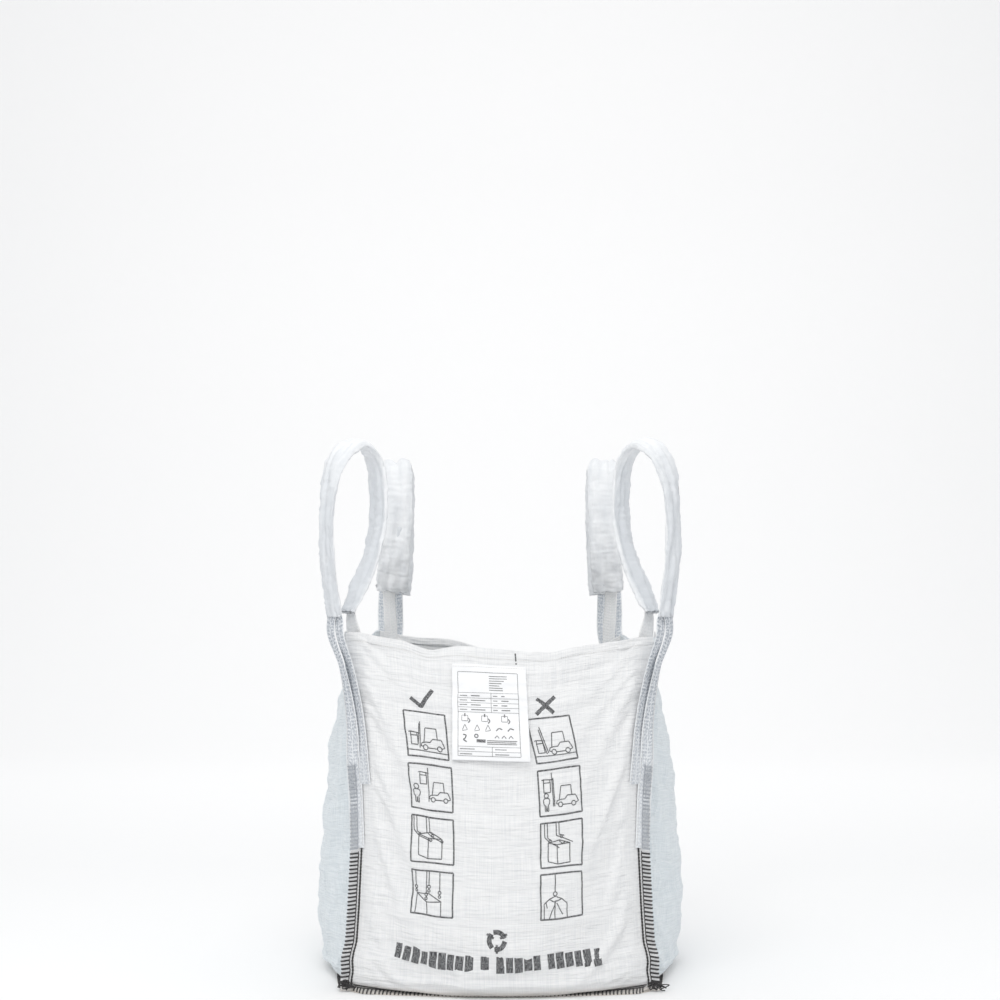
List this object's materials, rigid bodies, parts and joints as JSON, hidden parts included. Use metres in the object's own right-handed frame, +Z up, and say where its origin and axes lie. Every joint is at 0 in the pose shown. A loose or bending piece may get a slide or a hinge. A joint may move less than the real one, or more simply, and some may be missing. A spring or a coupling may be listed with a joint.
{
  "type": "bulk bag",
  "caption": "Open-topped bulk bag of white woven cloth with outward seams, filled-out walls, a sleeved lifting loop at each corner and an information flap on the front.",
  "frame": {"origin": "on the floor under the middle of the base", "axes": "+Z up, the labelled front wall faces -Y, +X to the right seen from the front"},
  "size_m": [1.2118, 1.2118, 1.6867],
  "materials": {
    "woven_cloth": "satin",
    "sleeve_cloth": "satin",
    "webbing": "matte",
    "white_thread": "matte",
    "black_thread": "matte",
    "label_sheet": "satin"
  },
  "bodies": {
    "bag": {"front_panel": "woven_cloth", "rear_panel": "woven_cloth", "left_panel": "woven_cloth", "right_panel": "woven_cloth", "base_panel": "woven_cloth", "corner_chain_front_left": "white_thread", "corner_overlock_front_left": "black_thread", "strap_front_left": "webbing", "strap_stitch_front_left": "white_thread", "corner_chain_front_right": "white_thread", "corner_overlock_front_right": "black_thread", "strap_front_right": "webbing", "strap_stitch_front_right": "white_thread", "corner_chain_rear_left": "white_thread", "corner_overlock_rear_left": "black_thread", "strap_rear_left": "webbing", "strap_stitch_rear_left": "white_thread", "corner_chain_rear_right": "white_thread", "corner_overlock_rear_right": "black_thread", "strap_rear_right": "webbing", "strap_stitch_rear_right": "white_thread", "base_chain_front": "white_thread", "base_overlock_front": "black_thread", "hem_stitch_front": "white_thread", "base_chain_rear": "white_thread", "base_overlock_rear": "black_thread", "hem_stitch_rear": "white_thread", "base_chain_left": "white_thread", "base_overlock_left": "black_thread", "hem_stitch_left": "white_thread", "base_chain_right": "white_thread", "base_overlock_right": "black_thread", "hem_stitch_right": "white_thread"},
    "loop_front_left": {"webbing_front_left": "webbing", "sleeve_front_left": "sleeve_cloth"},
    "loop_front_right": {"webbing_front_right": "webbing", "sleeve_front_right": "sleeve_cloth"},
    "loop_rear_left": {"webbing_rear_left": "webbing", "sleeve_rear_left": "sleeve_cloth"},
    "loop_rear_right": {"webbing_rear_right": "webbing", "sleeve_rear_right": "sleeve_cloth"},
    "label_flap": {"label": "label_sheet", "label_stitch": "white_thread"}
  },
  "joints": [
    {"name": "front_left_loop_fold", "type": "hinge", "parent": "bag", "child": "loop_front_left", "pos_m": [-0.49564, -0.49071, 1.085], "axis": [0.6428, -0.766, 0], "range_deg": [-50, 150]},
    {"name": "front_right_loop_fold", "type": "hinge", "parent": "bag", "child": "loop_front_right", "pos_m": [0.49564, -0.49071, 1.085], "axis": [0.6428, 0.766, 0], "range_deg": [-50, 150]},
    {"name": "rear_left_loop_fold", "type": "hinge", "parent": "bag", "child": "loop_rear_left", "pos_m": [-0.396, 0.466, 1.085], "axis": [-1, 0, 0], "range_deg": [-50, 150]},
    {"name": "rear_right_loop_fold", "type": "hinge", "parent": "bag", "child": "loop_rear_right", "pos_m": [0.396, 0.466, 1.085], "axis": [-1, 0, 0], "range_deg": [-50, 150]},
    {"name": "label_lift", "type": "hinge", "parent": "bag", "child": "label_flap", "pos_m": [-0.027, -0.52311, 0.9855], "axis": [-1, 0, 0], "range_deg": [0, 120]}
  ]
}
